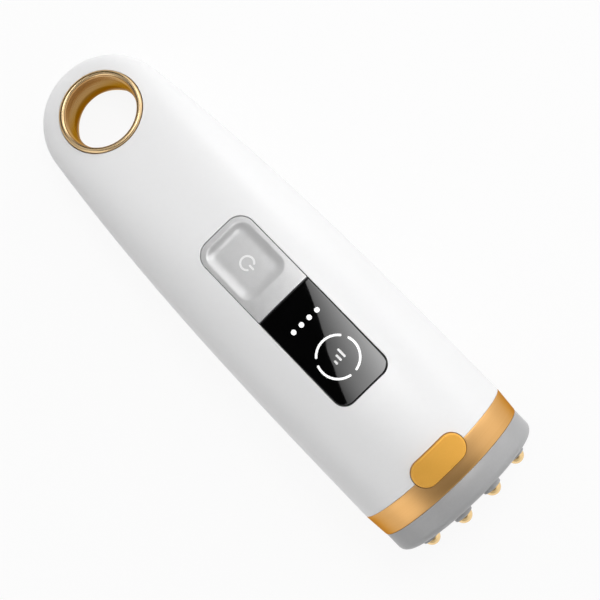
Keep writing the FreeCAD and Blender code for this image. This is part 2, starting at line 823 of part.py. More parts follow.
# Lights under the lens: a row of four and a ring, in wells of one light box
dots_x = divider + dot_setback_from_lens_edge
ring_light_x = dots_x + ring_light_from_dots
light_places = [(dots_x, (index - (dot_count - 1) / 2) * dot_pitch) for index in range(dot_count)]
for index in range(ring_light_count):
    angle = 2 * math.pi * index / ring_light_count
    light_places.append((ring_light_x + ring_light_radius * math.cos(angle),
                         ring_light_radius * math.sin(angle)))
light_box_level = -(panel_plate + touch_pad_thickness + sliding_fit)
light_box = plate(lens_start + light_box_margin, lens_end - light_box_margin, light_box_half_width,
                  panel_inner_corner, panel_head_corner - light_box_margin, board_top, light_box_level)
groove_base = V(ring_light_x, 0, light_box_level - light_groove_depth)
groove = rod(groove_base, z_axis, ring_light_radius + light_groove_half_width, light_groove_depth)
groove = groove.cut(rod(groove_base, z_axis, ring_light_radius - light_groove_half_width,
                        light_groove_depth))
light_wells = [on_panel(rod(V(x, y, board_top), z_axis, light_well_radius,
                            light_box_level - board_top)) for x, y in light_places]
light_box = light_box.cut([on_panel(groove)] + light_wells)
indicator_leds = []
for x, y in light_places:
    half = led_size / 2
    indicator_leds.append(on_panel(box((x - half, x + half), (y - half, y + half),
                                       (board_top, board_top + led_height))))
touch_pad = on_panel(rod(V(ring_light_x, 0, -panel_plate - touch_pad_thickness), z_axis,
                         touch_pad_radius, touch_pad_thickness))

# Parts on the underside of the main board
chip_half = chip_size / 2
controller_chip = on_panel(box((chip_place - chip_half, chip_place + chip_half),
                               (-chip_half, chip_half), (board_bottom - chip_height, board_bottom)))
battery_floor = shell_wall + battery_pad_height
battery_top = battery_floor + battery_height
transformer_low_point = panel_place.multVec(V(transformer_place - transformer_radius, 0, board_bottom))
transformer_height = ((transformer_low_point.z - battery_top - transformer_clearance)
                      / math.cos(panel_slope))
transformer_low = board_bottom - transformer_height
transformer_core = rod(V(transformer_place, 0, transformer_low), z_axis,
                       transformer_post_radius, transformer_height)
for level in (transformer_low, board_bottom - transformer_flange):
    transformer_core = transformer_core.fuse(rod(V(transformer_place, 0, level), z_axis,
                                                 transformer_radius, transformer_flange))
transformer_coil = rod(V(transformer_place, 0, transformer_low + transformer_flange), z_axis,
                       coil_radius, transformer_height - 2 * transformer_flange)
transformer_coil = transformer_coil.cut(rod(V(transformer_place, 0, transformer_low), z_axis,
                                            transformer_post_radius + close_fit, transformer_height))

# Battery on its foam pad
battery_x = x_tip + battery_tail_setback
battery_cell = box((battery_x, battery_x + battery_length),
                   (-battery_half_width, battery_half_width),
                   (battery_floor, battery_top))
long_edges = [edge for edge in battery_cell.Edges if edge.BoundBox.XLength > battery_length / 2]
battery_cell = battery_cell.makeFillet(battery_edge, long_edges)
battery_pad = box((battery_x + battery_pad_margin, battery_x + battery_length - battery_pad_margin),
                  (-battery_pad_half_width, battery_pad_half_width), (shell_wall, battery_floor))

# Charging socket through the back, on its own small board
socket_x = x_tip + socket_setback
z_charge_board = socket_recess + socket_depth
charge_socket = stadium(socket_x, socket_width, socket_length, socket_recess, z_charge_board)
charge_socket = charge_socket.cut(stadium(socket_x, socket_width - 2 * socket_wall,
                                          socket_length - 2 * socket_wall,
                                          socket_recess, z_charge_board - socket_back))
z_tongue = z_charge_board - socket_back
charge_tongue = box((socket_x - tongue_width / 2, socket_x + tongue_width / 2),
                    (-tongue_length / 2, tongue_length / 2), (z_tongue - tongue_height, z_tongue))
rear_openings.append(stadium(socket_x, socket_width + 2 * socket_clearance,
                             socket_length + 2 * socket_clearance, -skirt, z_charge_board))
charge_board = box((socket_x - charge_board_length / 2, socket_x + charge_board_length / 2),
                   (-charge_board_half_width, charge_board_half_width),
                   (z_charge_board, z_charge_board + charge_board_thickness))
charge_board_screws = []
for way in (-1, 1):
    x = socket_x + way * charge_post_setback
    y = -way * charge_post_y
    rear_bosses.append(rod(V(x, y, shell_wall / 2), z_axis, charge_post_radius,
                           z_charge_board - shell_wall / 2))
    rear_openings.append(rod(V(x, y, z_charge_board), z_axis * -1, screw_radius + pilot_clearance,
                             board_screw_bite + pilot_spare))
    seat = V(x, y, z_charge_board + charge_board_thickness)
    charge_board = charge_board.cut(rod(seat, z_axis * -1, screw_radius + screw_hole_clearance,
                                        charge_board_thickness))
    charge_board_screws.append(screw(seat, z_axis * -1, charge_board_thickness + board_screw_bite))


# Shell screws come from the back through deep counterbores, each closed by a plug
def back_height(x, y):
    """Height of the back's outer face over a point of the plan."""
    power = section_power(x)
    share = (abs(y) / half_width(x, 0)) ** power
    depth = (mid_height(x) + belly_overshoot) * (1 - share) ** (1 / power)
    return max(0.0, mid_height(x) - depth)


shell_screw_places = []
for x, y in ((x_joint - shell_screw_head_setback, shell_screw_head_y),
             (x_tip + shell_screw_tail_setback, shell_screw_tail_y)):
    shell_screw_places += [(x, y), (x, -y)]
counterbore_radius = screw_head_radius + counterbore_clearance
shell_screws = []
screw_plugs = []
for x, y in shell_screw_places:
    seat = V(x, y, mid_height(x) - shell_screw_seat)
    rear_boss = rod(V(x, y, -skirt), z_axis, shell_screw_boss_radius, far)
    rear_bosses.append(rear_boss.common(rear_body))
    rear_openings.append(rod(V(x, y, -skirt), z_axis, counterbore_radius, seat.z + skirt))
    rear_openings.append(rod(seat, z_axis, screw_radius + screw_hole_clearance, far))
    front_boss = rod(V(x, y, 0), z_axis, shell_screw_front_boss_radius, far)
    front_bosses.append(front_boss.common(front_body))
    front_openings.append(rod(seat, z_axis, screw_radius + pilot_clearance,
                              shell_screw_seat + screw_bite + pilot_spare))
    shell_screws.append(screw(seat, z_axis, shell_screw_seat + screw_bite))
    plug = rod(V(x, y, -skirt), z_axis, counterbore_radius - close_fit,
               back_height(x, y) + plug_height + skirt)
    screw_plugs.append(plug.common(rear_body))
front_shell = front_shell.fuse(front_bosses).cut(front_openings).removeSplitter()
rear_shell = rear_shell.fuse(rear_bosses).cut(rear_openings).removeSplitter()


# Leads: straight runs joined by arcs
def lead(points, bend):
    """Insulated wire along its route, each corner rounded to the bend radius."""
    edges = []
    start = points[0]
    for before, corner, after in zip(points, points[1:], points[2:]):
        way_in = (before - corner).normalize()
        way_out = (after - corner).normalize()
        half_turn = way_in.getAngle(way_out) / 2
        trim = bend / math.tan(half_turn)
        bisector = (way_in + way_out).normalize()
        middle = corner + bisector * (bend / math.sin(half_turn) - bend)
        arc_start = corner + way_in * trim
        arc_end = corner + way_out * trim
        edges.append(Part.makeLine(start, arc_start))
        edges.append(Part.Arc(arc_start, middle, arc_end).toShape())
        start = arc_end
    edges.append(Part.makeLine(start, points[-1]))
    ring = Part.Wire(Part.makeCircle(lead_radius, points[0], points[1] - points[0]))
    return Part.Wire(edges).makePipeShell([ring], True, False)


def board_point(x, y, below):
    """A point under the main board, in the device's own frame."""
    return panel_place.multVec(V(x, y, board_bottom - below))


rf_lead_x = board_half_length - rf_lead_margin
battery_end_x = battery_x + battery_length
battery_lead_z = battery_floor + battery_height / 2
battery_lead_x = transformer_place + transformer_radius + battery_lead_margin
charge_lead_start_x = socket_x + charge_board_length / 2 - charge_lead_margin
charge_lead_x = charge_lead_board_margin - board_half_length
z_charge_top = z_charge_board + charge_board_thickness
rf_leads = []
battery_leads = []
charge_leads = []
for side in (-1, 1):
    y = side * rf_lead_y
    rf_leads.append(lead([V(x_board_back, y, head_centre_height),
                          V(x_frame_back, y, head_centre_height),
                          board_point(rf_lead_x, y, rf_lead_drop),
                          board_point(rf_lead_x, y, 0)], lead_bend))
    y = side * battery_lead_y
    battery_leads.append(lead([V(battery_end_x, y, battery_lead_z),
                               V(battery_end_x + battery_lead_run, y, battery_lead_z),
                               board_point(battery_lead_x, y, battery_lead_drop),
                               board_point(battery_lead_x, y, 0)], lead_bend))
    y = side * charge_lead_y
    charge_leads.append(lead([V(charge_lead_start_x, y, z_charge_top),
                              V(charge_lead_start_x, y, z_charge_top + charge_lead_rise),
                              board_point(charge_lead_x, y, charge_lead_drop),
                              board_point(charge_lead_x, y, 0)], charge_lead_bend))

pieces = {
    "front_shell": front_shell,
    "rear_shell": rear_shell,
    "ring_bush_front": ring_bush_front,
    "ring_bush_rear": ring_bush_rear,
    "trim_band": trim_band.removeSplitter(),
    "head_frame": head_frame,
    "head_cap": head_cap,
    "electrode_board": electrode_board,
    "head_seal": head_seal,
    "head_screws": group(head_screws),
    "mode_key": mode_key,
    "mode_switch": mode_switch,
    "mode_switch_plunger": mode_switch_plunger,
    "mode_board": mode_board,
    "mode_board_screws": group(mode_board_screws),
    "power_key": power_key,
    "power_switch": power_switch,
    "power_switch_plunger": power_switch_plunger,
    "display_lens": display_lens,
    "light_box": light_box,
    "indicator_leds": group(indicator_leds),
    "touch_pad": touch_pad,
    "main_board": main_board,
    "board_screws": group(board_screws),
    "controller_chip": controller_chip,
    "rf_transformer_core": on_panel(transformer_core.removeSplitter()),
    "rf_transformer_coil": on_panel(transformer_coil),
    "battery_cell": battery_cell,
    "battery_pad": battery_pad,
    "charge_board": charge_board,
    "charge_board_screws": group(charge_board_screws),
    "charge_socket": charge_socket,
    "charge_tongue": charge_tongue,
    "shell_screws": group(shell_screws),
    "screw_plugs": group(screw_plugs),
    "rf_leads": group(rf_leads),
    "battery_leads": group(battery_leads),
    "charge_leads": group(charge_leads),
}
for name, shape in pieces.items():
    export(name, shape)
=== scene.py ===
import math

import bmesh
import bpy
from mathutils import Matrix, Vector


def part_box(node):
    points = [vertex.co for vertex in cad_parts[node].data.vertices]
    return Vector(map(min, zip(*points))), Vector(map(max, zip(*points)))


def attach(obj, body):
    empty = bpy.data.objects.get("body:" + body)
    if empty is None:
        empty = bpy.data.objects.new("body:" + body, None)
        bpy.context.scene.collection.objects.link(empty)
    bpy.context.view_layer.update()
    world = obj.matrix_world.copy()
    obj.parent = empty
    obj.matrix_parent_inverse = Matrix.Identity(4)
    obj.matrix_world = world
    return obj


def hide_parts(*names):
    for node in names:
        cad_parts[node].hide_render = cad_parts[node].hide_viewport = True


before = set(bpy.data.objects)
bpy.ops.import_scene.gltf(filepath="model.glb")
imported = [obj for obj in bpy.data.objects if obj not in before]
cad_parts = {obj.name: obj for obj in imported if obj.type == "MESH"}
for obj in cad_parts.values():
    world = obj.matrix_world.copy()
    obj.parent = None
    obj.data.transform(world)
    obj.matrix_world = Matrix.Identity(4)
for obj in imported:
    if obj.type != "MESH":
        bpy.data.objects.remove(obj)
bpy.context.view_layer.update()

# Front and rear shell: two glossy white ABS mouldings that part along the widest line of the body.
# Each is bent here from a flat sheet that already has its wall, and the openings for the ring, the
# panel, the mode key and the socket are then cut through it. Lengths are in millimetres.
scene = bpy.context.scene
mm = 0.001
shell_wall = 2.2
x_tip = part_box("front_shell")[0].x / mm
x_joint = 62.8
head_half_width = 24.2
head_height = 41.0
head_middle = 20.5
head_power = 2.0
tail_middle = 6.2
tail_power = 3.2
back_cut = 1.2
x_ring = -64.5
ring_height = 14.52
nose_radius = 18.89
nose_rounding = 9.0
nose_power = 2.4
x_nose = x_tip + nose_radius
flank_angle = math.radians(7.0)
x_flank = x_nose - nose_radius * math.sin(flank_angle)
flank_width = nose_radius * math.cos(flank_angle)
flank_power = math.tan(flank_angle) * (x_joint - x_flank) / (head_half_width - flank_width)
head_slope = math.radians(5.5)
ring_slope = 2 * math.atan2(head_height - ring_height, x_joint - x_ring) - head_slope
front_radius = (x_joint - x_ring) / (math.sin(ring_slope) - math.sin(head_slope))


def half_width(x, inset=0.0):
    """Half of the body's width at a station."""
    if x < x_flank:
        return math.sqrt(max(0.0, (nose_radius - inset) ** 2 - (x_nose - x) ** 2))
    share = (x_joint - x) / (x_joint - x_flank)
    return head_half_width - (head_half_width - flank_width) * share ** flank_power - inset


def front_slope(x):
    """Slope of the front face along its middle line."""
    return math.asin(math.sin(head_slope) + (x_joint - x) / front_radius)


def front_height(x):
    """Height of the front face on its middle line."""
    return head_height - front_radius * (math.cos(head_slope) - math.cos(front_slope(x)))


def parting_height(x):
    """Height of the line where the two shells meet."""
    return tail_middle + (head_middle - tail_middle) * (x - x_tip) / (x_joint - x_tip)


def nose_share(x, inset=0.0):
    """How much of the full thickness is left at a station near the rounded tail."""
    share = max(0.0, x_tip + nose_rounding - x) / (nose_rounding - inset)
    return max(0.0, 1.0 - share ** nose_power) ** (1 / nose_power)


def section_power(x):
    """How square the section is: an ellipse at the head, fuller towards the tail."""
    return head_power + (tail_power - head_power) * (x_joint - x) / (x_joint - x_tip)


def shell_point(along, turn, inset, way):
    """Point of a shell: a share of the way from head to tail, and an angle over the section. The
    rear half goes below the table by back_cut, and is cut flat there later."""
    flank_share = 0.82
    x = x_joint + (x_flank - x_joint) * along / flank_share
    if along > flank_share:
        nose_turn = (along - flank_share) / (1 - flank_share) * (math.pi / 2 - flank_angle)
        x = x_nose - (nose_radius - inset) * math.sin(flank_angle + nose_turn)
    middle = parting_height(x)
    rise = front_height(x) - middle if way > 0 else -middle - back_cut
    power = section_power(x)
    reach = (abs(math.cos(turn)) ** power + abs(math.sin(turn)) ** power) ** (-1 / power)
    height = (rise - way * inset) * nose_share(x, inset)
    return Vector((x, half_width(x, inset) * reach * math.cos(turn),
                   middle + height * reach * math.sin(turn)))


def cut_plane(bm, place, way, clear=False):
    """Cuts a mesh along a plane and, if asked, clears what lies on the side the plane faces."""
    bmesh.ops.bisect_plane(bm, geom=bm.verts[:] + bm.edges[:] + bm.faces[:],
                           plane_co=place, plane_no=way, clear_outer=clear)


def close_up(bm):
    """Fills the open rims of a mesh and turns its faces outwards."""
    bmesh.ops.holes_fill(bm, edges=[edge for edge in bm.edges if edge.is_boundary], sides=0)
    bmesh.ops.recalc_face_normals(bm, faces=bm.faces[:])


def shell_blank(way):
    """A shell without openings, with a fine bevel along the parting line and the head end."""
    bevel_lines = (-0.996, -0.988, 0.988, 0.996)
    head_line = -0.9975
    bevel_start = 0.03
    bevel_end = 0.13
    bm = bmesh.new()
    bmesh.ops.create_grid(bm, x_segments=160, y_segments=80, size=1.0)
    for line in bevel_lines:
        cut_plane(bm, (0, line, 0), (0, 1, 0))
    cut_plane(bm, (head_line, 0, 0), (1, 0, 0))
    bmesh.ops.solidify(bm, geom=bm.faces[:], thickness=1.0)
    tail_wall = [face for face in bm.faces if all(vert.co.x > 0.9999 for vert in face.verts)]
    bmesh.ops.delete(bm, geom=tail_wall, context="FACES")
    for vert in bm.verts:
        lengthways, across, layer = vert.co
        inner = layer < -0.5
        bevel = 0.0
        if abs(across) > 0.99:
            bevel = bevel_start
        if abs(across) > 0.999 or lengthways < -0.999:
            bevel = bevel_end
        inset = shell_wall if inner else bevel
        vert.co = shell_point((lengthways + 1) / 2, math.pi * (1 - across) / 2, inset, way)
        if inner and way < 0:
            vert.co.z = max(vert.co.z, shell_wall)
    bmesh.ops.remove_doubles(bm, verts=bm.verts[:], dist=0.002)
    bmesh.ops.recalc_face_normals(bm, faces=bm.faces[:])
    return bm


def carve(blank, tool, operation):
    """Cuts or joins one solid with another, uses both up, and gives the result to go on with."""
    carvings = []
    for bm in (blank, tool):
        mesh = bpy.data.meshes.new("carving")
        bm.to_mesh(mesh)
        bm.free()
        carvings.append(bpy.data.objects.new("carving", mesh))
        scene.collection.objects.link(carvings[-1])
    knife = carvings[0].modifiers.new("knife", "BOOLEAN")
    knife.object = carvings[1]
    knife.operation = operation
    knife.solver = "EXACT"
    result = bmesh.new()
    result.from_object(carvings[0], bpy.context.evaluated_depsgraph_get())
    for carving in carvings:
        bpy.data.meshes.remove(carving.data)
    return result


def plate_edge(share, start, end, half, start_corner, end_corner):
    """Point and outward direction at a share of the way round a plate with rounded corners."""
    quarter, run = int(share * 4) % 4, share * 4 % 1
    way_x = 1 if quarter in (0, 3) else -1
    way_y = 1 if quarter in (0, 1) else -1
    if quarter in (1, 3):
        run = 1 - run
    corner = end_corner if way_x > 0 else start_corner
    side, bend, flank = half - corner, corner * math.pi / 2, (end - start) / 2 - corner
    run *= side + bend + flank
    turn = min(max(run - side, 0.0) / corner, math.pi / 2)
    x = flank - max(run - side - bend, 0.0) + corner * math.cos(turn)
    y = min(run, side) + corner * math.sin(turn)
    return (start + end) / 2 + way_x * x, way_y * y, way_x * math.cos(turn), way_y * math.sin(turn)


def plate_solid(plate, rings, place, around=480):
    """Solid over a rounded plate. A ring is its inset, its share of the way out from the plate's
    middle line and its depth; place turns a point of the plate and a depth into a point in space."""
    bm = bmesh.new()
    bmesh.ops.create_grid(bm, x_segments=around, y_segments=len(rings) - 1, size=1.0)
    start, end, half = plate[:3]
    short = min((end - start) / 2, half)
    for vert in bm.verts:
        inset, out, depth = rings[round((vert.co.y + 1) / 2 * (len(rings) - 1))]
        x, y, out_x, out_y = plate_edge((vert.co.x + 1) / 2 % 1, *plate)
        x -= inset * out_x
        y -= inset * out_y
        spine_x = min(max(x, start + short), end - short)
        spine_y = min(max(y, short - half), half - short)
        vert.co = place(spine_x + (x - spine_x) * out, spine_y + (y - spine_y) * out, depth)
    bmesh.ops.remove_doubles(bm, verts=bm.verts[:], dist=0.002)
    close_up(bm)
    return bm


def down_from(height):
    """Places plates that stand square to the table, with depths counted down from a height."""
    return lambda x, y, depth: Vector((x, y, height - depth))


def up_from(height):
    """Places plates that stand square to the table, with depths counted up from a height."""
    return lambda x, y, depth: Vector((x, y, height + depth))


x_panel = 9.55
panel_slope = front_slope(x_panel)
panel_height = front_height(x_panel)


def skin_height(x, y):
    """Height of the front shell's face over a point of the plan."""
    middle = parting_height(x)
    power = section_power(x)
    share = 1 - (abs(y) / half_width(x)) ** power
    return middle + (front_height(x) - middle) * nose_share(x) * share ** (1 / power)


def on_panel(along, y, depth):
    """Point under the front face, from its place along the panel and its depth square to it."""
    rise = 0.0
    for nearer in range(4):
        x = x_panel + along * math.cos(panel_slope) - rise * math.sin(panel_slope)
        z = panel_height + along * math.sin(panel_slope)
        rise = (skin_height(x, y) - z) / math.cos(panel_slope)
    rise -= depth
    return Vector((x_panel + along * math.cos(panel_slope) - rise * math.sin(panel_slope), y,
                   panel_height + along * math.sin(panel_slope) + rise * math.cos(panel_slope)))


def ring_turned(bm):
    """Turns a shape made about the Z axis to stand square on the front face at the ring."""
    stand = Matrix.Translation((x_ring, 0, ring_height)) @ Matrix.Rotation(-ring_slope, 4, "Y")
    bmesh.ops.transform(bm, matrix=stand, verts=bm.verts[:])
    return bm


def rod(radius, low, high, x=0.0, y=0.0, sides=96):
    """Upright round rod between two heights."""
    bm = bmesh.new()
    bmesh.ops.create_cone(bm, cap_ends=True, segments=sides, radius1=radius, radius2=radius,
                          depth=high - low, matrix=Matrix.Translation((x, y, (low + high) / 2)))
    return bm


def join(*shapes):
    """Puts several loose solids into one mesh, and uses them up."""
    whole = bmesh.new()
    for bm in shapes:
        mesh = bpy.data.meshes.new("part")
        bm.to_mesh(mesh)
        bm.free()
        whole.from_mesh(mesh)
        bpy.data.meshes.remove(mesh)
    return whole


def set_up(name, bm, material, body, nodes, crease=32.0):
    """Makes a finished mesh a piece of the object, shaded smooth between its creases."""
    bmesh.ops.scale(bm, vec=(mm, mm, mm), verts=bm.verts[:])
    for face in bm.faces:
        face.smooth = True
    for edge in bm.edges:
        edge.smooth = edge.is_manifold and edge.calc_face_angle(0.0) < math.radians(crease)
    mesh = bpy.data.meshes.new(name)
    bm.to_mesh(mesh)
    bm.free()
    mesh.materials.append(material)
    piece = bpy.data.objects.new(name, mesh)
    scene.collection.objects.link(piece)
    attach(piece, body)
    if nodes:
        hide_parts(*nodes)


def feed(node, inputs):
    """Sets a node's inputs, each to a plain value or to the socket that drives it."""
    for name, value in inputs.items():
        if isinstance(value, bpy.types.NodeSocket):
            node.id_data.links.new(value, node.inputs[name])
        else:
            node.inputs[name].default_value = value


def add_node(tree, kind, inputs, **settings):
    """New shader node with its settings and its inputs."""
    node = tree.nodes.new(kind)
    for name, value in settings.items():
        setattr(node, name, value)
    feed(node, inputs)
    return node


def grain_group():
    """Fine unevenness of a real surface: its colour, its gloss and its height."""
    broad_share = 0.11
    least, most = 0.12, 0.4
    tree = bpy.data.node_groups.new("surface_grain", "ShaderNodeTree")
    for name, kind in (("Vector", "NodeSocketVector"), ("Colour", "NodeSocketColor"),
                       ("Tint", "NodeSocketColor"), ("Scale", "NodeSocketFloat"),
                       ("Gloss", "NodeSocketFloat"), ("Spread", "NodeSocketFloat")):
        tree.interface.new_socket(name=name, in_out="INPUT", socket_type=kind)
    for name, kind in (("Colour", "NodeSocketColor"), ("Roughness", "NodeSocketFloat"),
                       ("Height", "NodeSocketFloat")):
        tree.interface.new_socket(name=name, in_out="OUTPUT", socket_type=kind)
    given = tree.nodes.new("NodeGroupInput").outputs
    broad_scale = add_node(tree, "ShaderNodeMath", {0: given["Scale"], 1: broad_share},
                           operation="MULTIPLY")
    fine = add_node(tree, "ShaderNodeTexNoise",
                    {"Vector": given["Vector"], "Scale": given["Scale"], "Detail": 3.0})
    broad = add_node(tree, "ShaderNodeTexNoise",
                     {"Vector": given["Vector"], "Scale": broad_scale.outputs[0], "Detail": 2.0})
    both = add_node(tree, "ShaderNodeMath", {0: fine.outputs["Fac"], 1: broad.outputs["Fac"]},
                    operation="MULTIPLY")
    share = add_node(tree, "ShaderNodeMapRange",
                     {"Value": both.outputs[0], "From Min": least, "From Max": most})
    blend = add_node(tree, "ShaderNodeMix", {"Factor": share.outputs["Result"],
                                             "A": given["Colour"], "B": given["Tint"]},
                     data_type="RGBA")
    off_middle = add_node(tree, "ShaderNodeMath", {0: share.outputs["Result"], 1: 0.5},
                          operation="SUBTRACT")
    rough = add_node(tree, "ShaderNodeMath",
                     {0: off_middle.outputs[0], 1: given["Spread"], 2: given["Gloss"]},
                     operation="MULTIPLY_ADD")
    add_node(tree, "NodeGroupOutput", {"Colour": blend.outputs["Result"],
                                       "Roughness": rough.outputs[0],
                                       "Height": fine.outputs["Fac"]})
    return tree


surface_grain = grain_group()
grain_height = 0.00002


def finish(name, colour, tint, scale, gloss, spread, bump, sockets=None,
           stretch=(1, 1, 1), turn=(0, 0, 0)):
    """A material of two near colours in a grain, with the gloss and the bump of that grain. The
    sockets are those of the shader that are the same all over."""
    material = bpy.data.materials.new(name)
    material.use_nodes = True
    tree = material.node_tree
    place = tree.nodes.new("ShaderNodeTexCoord")
    lay = add_node(tree, "ShaderNodeMapping", {"Vector": place.outputs["Object"],
                                               "Scale": stretch, "Rotation": turn})
    grain = add_node(tree, "ShaderNodeGroup",
                     {"Vector": lay.outputs["Vector"], "Colour": (*colour, 1), "Tint": (*tint, 1),
                      "Scale": scale, "Gloss": gloss, "Spread": spread}, node_tree=surface_grain)
    raised = add_node(tree, "ShaderNodeBump", {"Strength": bump, "Distance": grain_height,
                                               "Height": grain.outputs["Height"]})
    shader = tree.nodes["Principled BSDF"]
    feed(shader, sockets or {})
    feed(shader, {"Base Color": grain.outputs["Colour"], "Roughness": grain.outputs["Roughness"],
                  "Normal": raised.outputs["Normal"]})
    return material


white_gloss = finish("white_gloss", (0.855, 0.855, 0.858), (0.865, 0.865, 0.868),
                     scale=700, gloss=0.36, spread=0.04, bump=0.03,
                     sockets={"Coat Weight": 0.15, "Coat Roughness": 0.2, "IOR": 1.5})

# The openings: a plate is its start, its end, its half width and the corner radius at either end.
# The panel's rim has a small chamfer, and the socket and the screw plugs are sunk from the back.
panel_opening = (-28.4, 28.4, 8.75, 4.6, 3.7)
panel_chamfer = 0.14
mode_opening = (58.5, 66.3, 8.45, 3.899, 3.899)
mode_tool_top = 46.0
mode_tool_depth = 14.0
socket_opening = (-39.83, -36.17, 4.67, 1.829, 1.829)
socket_chamfer = 0.25
front_seat = 12.08
rear_seat = 12.45
seat_above = 20.0
seat_below = 30.0
plug_radius = 2.2
plug_depth = 8.0
under_back = 3.0
plug_places = [(50.0, 14.5), (50.0, -14.5), (-36.0, 13.0), (-36.0, -13.0)]


def mode_tool():
    """Tool for the mode key's opening, which is cut through the shell's end and the band."""
    return plate_solid(mode_opening, [(0, 1, 0), (0, 1, mode_tool_depth)],
                       down_from(mode_tool_top), 160)


panel_tool = plate_solid(panel_opening, [(-panel_chamfer, 1, -5), (-panel_chamfer, 1, -0.02),
                                         (-0.1, 1, 0.04), (0, 1, panel_chamfer), (0, 1, 8)], on_panel)
front_hole = ring_turned(rod(front_seat, -seat_above, seat_above, sides=160))
front = carve(shell_blank(1), join(front_hole, panel_tool, mode_tool()), "DIFFERENCE")
set_up("front_moulding", front, white_gloss, "handset", ["front_shell"])
socket_tool = plate_solid(socket_opening, [(-socket_chamfer, 1, 0), (-socket_chamfer, 1, under_back),
                                           (0, 1, under_back + socket_chamfer), (0, 1, 10)],
                          up_from(-under_back), 120)
rear_hole = ring_turned(rod(rear_seat, -seat_below, seat_above, sides=160))
plug_holes = [rod(plug_radius, -under_back, plug_depth, x, y, 64) for x, y in plug_places]
rear = shell_blank(-1)
cut_plane(rear, (0, 0, 0), (0, 0, -1), clear=True)
close_up(rear)
rear = carve(rear, join(rear_hole, socket_tool, *plug_holes), "DIFFERENCE")
set_up("rear_moulding", rear, white_gloss, "handset", ["rear_shell"])

# Ring bushes: two turned brass bushes, gold plated, that meet inside the hanging hole. The front
# one has a beaded lip and a trumpet mouth, and the rear one opens again towards the flat back.
bore_radius = 9.4
throat_radius = 10.2
throat_depth = 0.65
neck_depth = 5.2
joint_depth = 8.0
mouth_radius = 11.2
mouth_depth = 11.7
lip_radius = 11.88
lip_depth = 1.2
bead_radius = 0.8
bead_depth = 0.35
front_bush = 11.0
rear_bush = 12.4


def flare(run, depth):
    """Radius of a trumpet mouth that opens by a run over a depth, and the angle of its arc."""
    radius = (run ** 2 + depth ** 2) / (2 * run)
    return radius, math.asin(depth / radius)


def arc(centre, radius, start, end, steps):
    """Points of an arc in a profile, as distances from the axis and heights."""
    turns = [start + (end - start) * step / steps for step in range(steps + 1)]
    return [(centre[0] + radius * math.cos(turn), centre[1] + radius * math.sin(turn))
            for turn in turns]


def turned(profile, steps=192):
    """Solid turned about the Z axis from a closed profile, whose edge on the axis is left out."""
    bm = bmesh.new()
    verts = [bm.verts.new((radius, 0, height)) for radius, height in profile]
    edges = [bm.edges.new(pair) for pair in zip(verts, verts[1:] + verts[:1])
             if max(vert.co.x for vert in pair) > 0.001]
    bmesh.ops.spin(bm, geom=verts + edges, cent=(0, 0, 0), axis=(0, 0, 1), angle=2 * math.pi,
                   steps=steps, use_merge=True)
    bmesh.ops.remove_doubles(bm, verts=bm.verts[:], dist=0.0005)
    bmesh.ops.recalc_face_normals(bm, faces=bm.faces[:])
    return bm


front_flare, front_turn = flare(throat_radius - bore_radius, neck_depth - throat_depth)
front_neck = (bore_radius + front_flare, -neck_depth)
rear_flare, rear_turn = flare(mouth_radius - bore_radius, mouth_depth - neck_depth)
rear_neck = (bore_radius + rear_flare, -neck_depth)
joint_turn = math.asin((joint_depth - neck_depth) / rear_flare)
front_profile = (arc((lip_radius - bead_radius, -bead_depth), bead_radius, 0, math.pi, 20)
                 + arc(front_neck, front_flare, math.pi - front_turn, math.pi, 16)
                 + arc(rear_neck, rear_flare, math.pi, math.pi + joint_turn, 6)
                 + [(front_bush, -joint_depth), (front_bush, -lip_depth), (lip_radius, -lip_depth)])
rear_profile = (arc(rear_neck, rear_flare, math.pi + joint_turn, math.pi + rear_turn, 14)
                + [(mouth_radius, -seat_below), (rear_bush, -seat_below), (rear_bush, -joint_depth)])
ring_gold = finish("ring_gold", (0.71, 0.51, 0.28), (0.76, 0.555, 0.315),
                   scale=60, gloss=0.26, spread=0.06, bump=0.1,
                   sockets={"Metallic": 1.0, "Specular Tint": (0.62, 0.40, 0.18, 1)},
                   stretch=(1, 1, 40), turn=(0, ring_slope, 0))

# The ring's colour is multiplied by a painted shade that follows the depth under the front face:
# full colour on the lip, darker and browner the deeper it lies in the bore, where shade falls.
white = (1, 1, 1, 1)
shade_start_depth = 0.8
full_shade_depth = 12.0
painted_bore_shades = [(0.09, (0.57, 0.48, 0.35)), (0.35, (0.53, 0.44, 0.32)),
               (0.44, (0.34, 0.25, 0.16)), (0.85, (0.34, 0.25, 0.16))]
tree = ring_gold.node_tree
shader = tree.nodes["Principled BSDF"]
place = tree.nodes.new("ShaderNodeTexCoord")
stand = add_node(tree, "ShaderNodeMapping",
                 {"Vector": place.outputs["Object"], "Rotation": (0, -ring_slope, 0),
                  "Location": (x_ring * mm, 0, ring_height * mm)}, vector_type="TEXTURE")
axes = add_node(tree, "ShaderNodeSeparateXYZ", {0: stand.outputs["Vector"]})
depth = add_node(tree, "ShaderNodeMapRange", {"Value": axes.outputs["Z"],
                                              "From Min": -shade_start_depth * mm,
                                              "From Max": -full_shade_depth * mm})
# Painted shade ramp: white at the lip, darker and browner down the bore.
painted_depth_shade = add_node(tree, "ShaderNodeValToRGB", {"Fac": depth.outputs["Result"]})
painted_depth_shade.color_ramp.interpolation = "EASE"
painted_depth_shade.color_ramp.elements[0].color = white
for stop, shade in painted_bore_shades:
    painted_depth_shade.color_ramp.elements.new(stop).color = (*shade, 1)
plated = shader.inputs["Base Color"].links[0].from_socket
